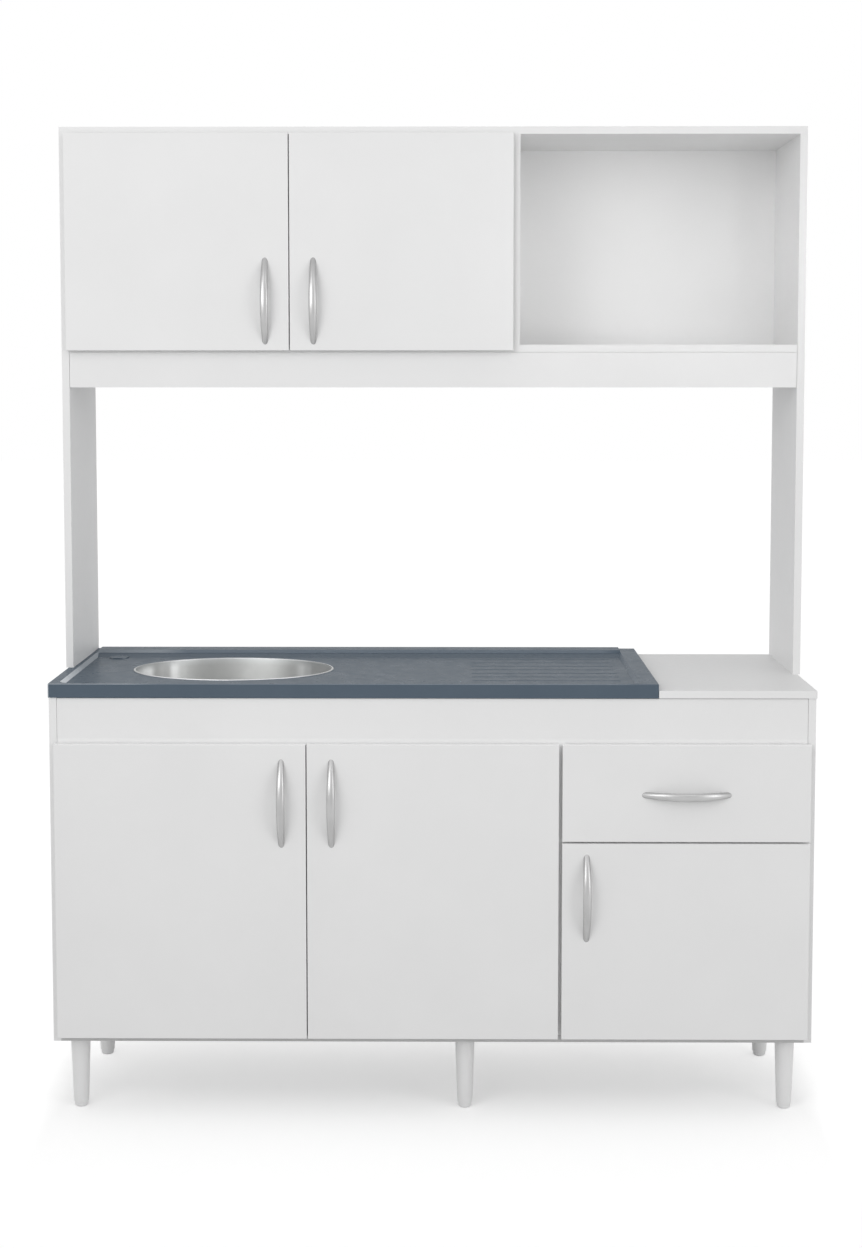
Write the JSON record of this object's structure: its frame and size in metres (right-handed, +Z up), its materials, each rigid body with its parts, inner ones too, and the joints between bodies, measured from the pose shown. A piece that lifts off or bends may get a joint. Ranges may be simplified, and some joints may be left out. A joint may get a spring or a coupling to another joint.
{
  "type": "kitchenette unit",
  "caption": "Kitchenette unit: base cabinet on conical legs with doors and a drawer, moulded sink top with oval steel bowl, side worktop, and an upper unit with doors and an open niche.",
  "frame": {"origin": "on the floor, midway between the two ends and midway between the wall plane and the front of the base handles", "axes": "+X to the right seen from the front, +Y towards the wall, +Z up"},
  "size_m": [1.518, 0.5432, 1.97],
  "materials": {
    "white_board": "white melamine facing, satin",
    "white_hardboard": "white lacquered hardboard, satin",
    "sink_moulding": "grey gel coat, glossy",
    "bowl_steel": "polished stainless steel",
    "waste_plastic": "moulded, satin",
    "waste_steel": "pressed stainless steel",
    "leg_plastic": "moulded, satin gloss",
    "glide_plastic": "moulded, matt",
    "runner_plastic": "moulded, satin",
    "hinge_steel": "nickel plated, satin",
    "dowel_wood": "plain beech",
    "handle_metal": "satin silver"
  },
  "bodies": {
    "cabinet": {"base_side_left": "white_board", "base_side_right": "white_board", "base_bottom": "white_board", "base_divider": "white_board", "front_rail": "white_board", "rear_rail": "white_board", "drawer_rail": "white_board", "upright_left": "white_board", "upright_right": "white_board", "upper_top": "white_board", "upper_bottom": "white_board", "upper_divider": "white_board", "valance": "white_board", "upper_shelf": "white_board", "side_worktop": "white_board", "base_back": "white_hardboard", "upper_back": "white_hardboard", "sink_top": "sink_moulding", "sink_bowl": "bowl_steel", "sink_waste": "waste_plastic", "waste_nut": "waste_plastic", "waste_strainer": "waste_steel", "leg_front_left": "leg_plastic", "leg_front_middle": "leg_plastic", "leg_front_right": "leg_plastic", "leg_rear_left": "leg_plastic", "leg_rear_middle": "leg_plastic", "leg_rear_right": "leg_plastic", "leg_glides": "glide_plastic", "drawer_runners": "runner_plastic", "upper_left_hinge_arms": "hinge_steel", "upper_right_hinge_arms": "hinge_steel", "base_left_hinge_arms": "hinge_steel", "base_middle_hinge_arms": "hinge_steel", "base_right_hinge_arms": "hinge_steel", "leg_studs": "hinge_steel", "shelf_pins": "hinge_steel", "upright_dowels": "dowel_wood"},
    "upper_left_leaf": {"upper_left_door": "white_board", "upper_left_handle": "handle_metal", "upper_left_hinge_cups": "hinge_steel"},
    "upper_right_leaf": {"upper_right_door": "white_board", "upper_right_handle": "handle_metal", "upper_right_hinge_cups": "hinge_steel"},
    "base_left_leaf": {"base_left_door": "white_board", "base_left_handle": "handle_metal", "base_left_hinge_cups": "hinge_steel"},
    "base_middle_leaf": {"base_middle_door": "white_board", "base_middle_handle": "handle_metal", "base_middle_hinge_cups": "hinge_steel"},
    "base_right_leaf": {"base_right_door": "white_board", "base_right_handle": "handle_metal", "base_right_hinge_cups": "hinge_steel"},
    "drawer_box": {"drawer_front": "white_board", "drawer_side_left": "white_board", "drawer_side_right": "white_board", "drawer_back": "white_board", "drawer_bottom": "white_hardboard", "drawer_handle": "handle_metal"}
  },
  "joints": [
    {"name": "upper_left_swing", "type": "hinge", "parent": "cabinet", "child": "upper_left_leaf", "pos_m": [-0.738, -0.03065, 1.737], "axis": [0, 0, -1], "range_deg": [0, 90]},
    {"name": "upper_right_swing", "type": "hinge", "parent": "cabinet", "child": "upper_right_leaf", "pos_m": [0.155, -0.03065, 1.737], "axis": [0, 0, 1], "range_deg": [0, 90]},
    {"name": "base_left_swing", "type": "hinge", "parent": "cabinet", "child": "base_left_leaf", "pos_m": [-0.733, -0.23765, 0.452], "axis": [0, 0, -1], "range_deg": [0, 90]},
    {"name": "base_middle_swing", "type": "hinge", "parent": "cabinet", "child": "base_middle_leaf", "pos_m": [0.24, -0.23765, 0.452], "axis": [0, 0, 1], "range_deg": [0, 90]},
    {"name": "base_right_swing", "type": "hinge", "parent": "cabinet", "child": "base_right_leaf", "pos_m": [0.733, -0.23765, 0.3545], "axis": [0, 0, 1], "range_deg": [0, 90]},
    {"name": "drawer_pull", "type": "slide", "parent": "cabinet", "child": "drawer_box", "axis": [0, -1, 0], "range_m": [0, 0.28]}
  ]
}
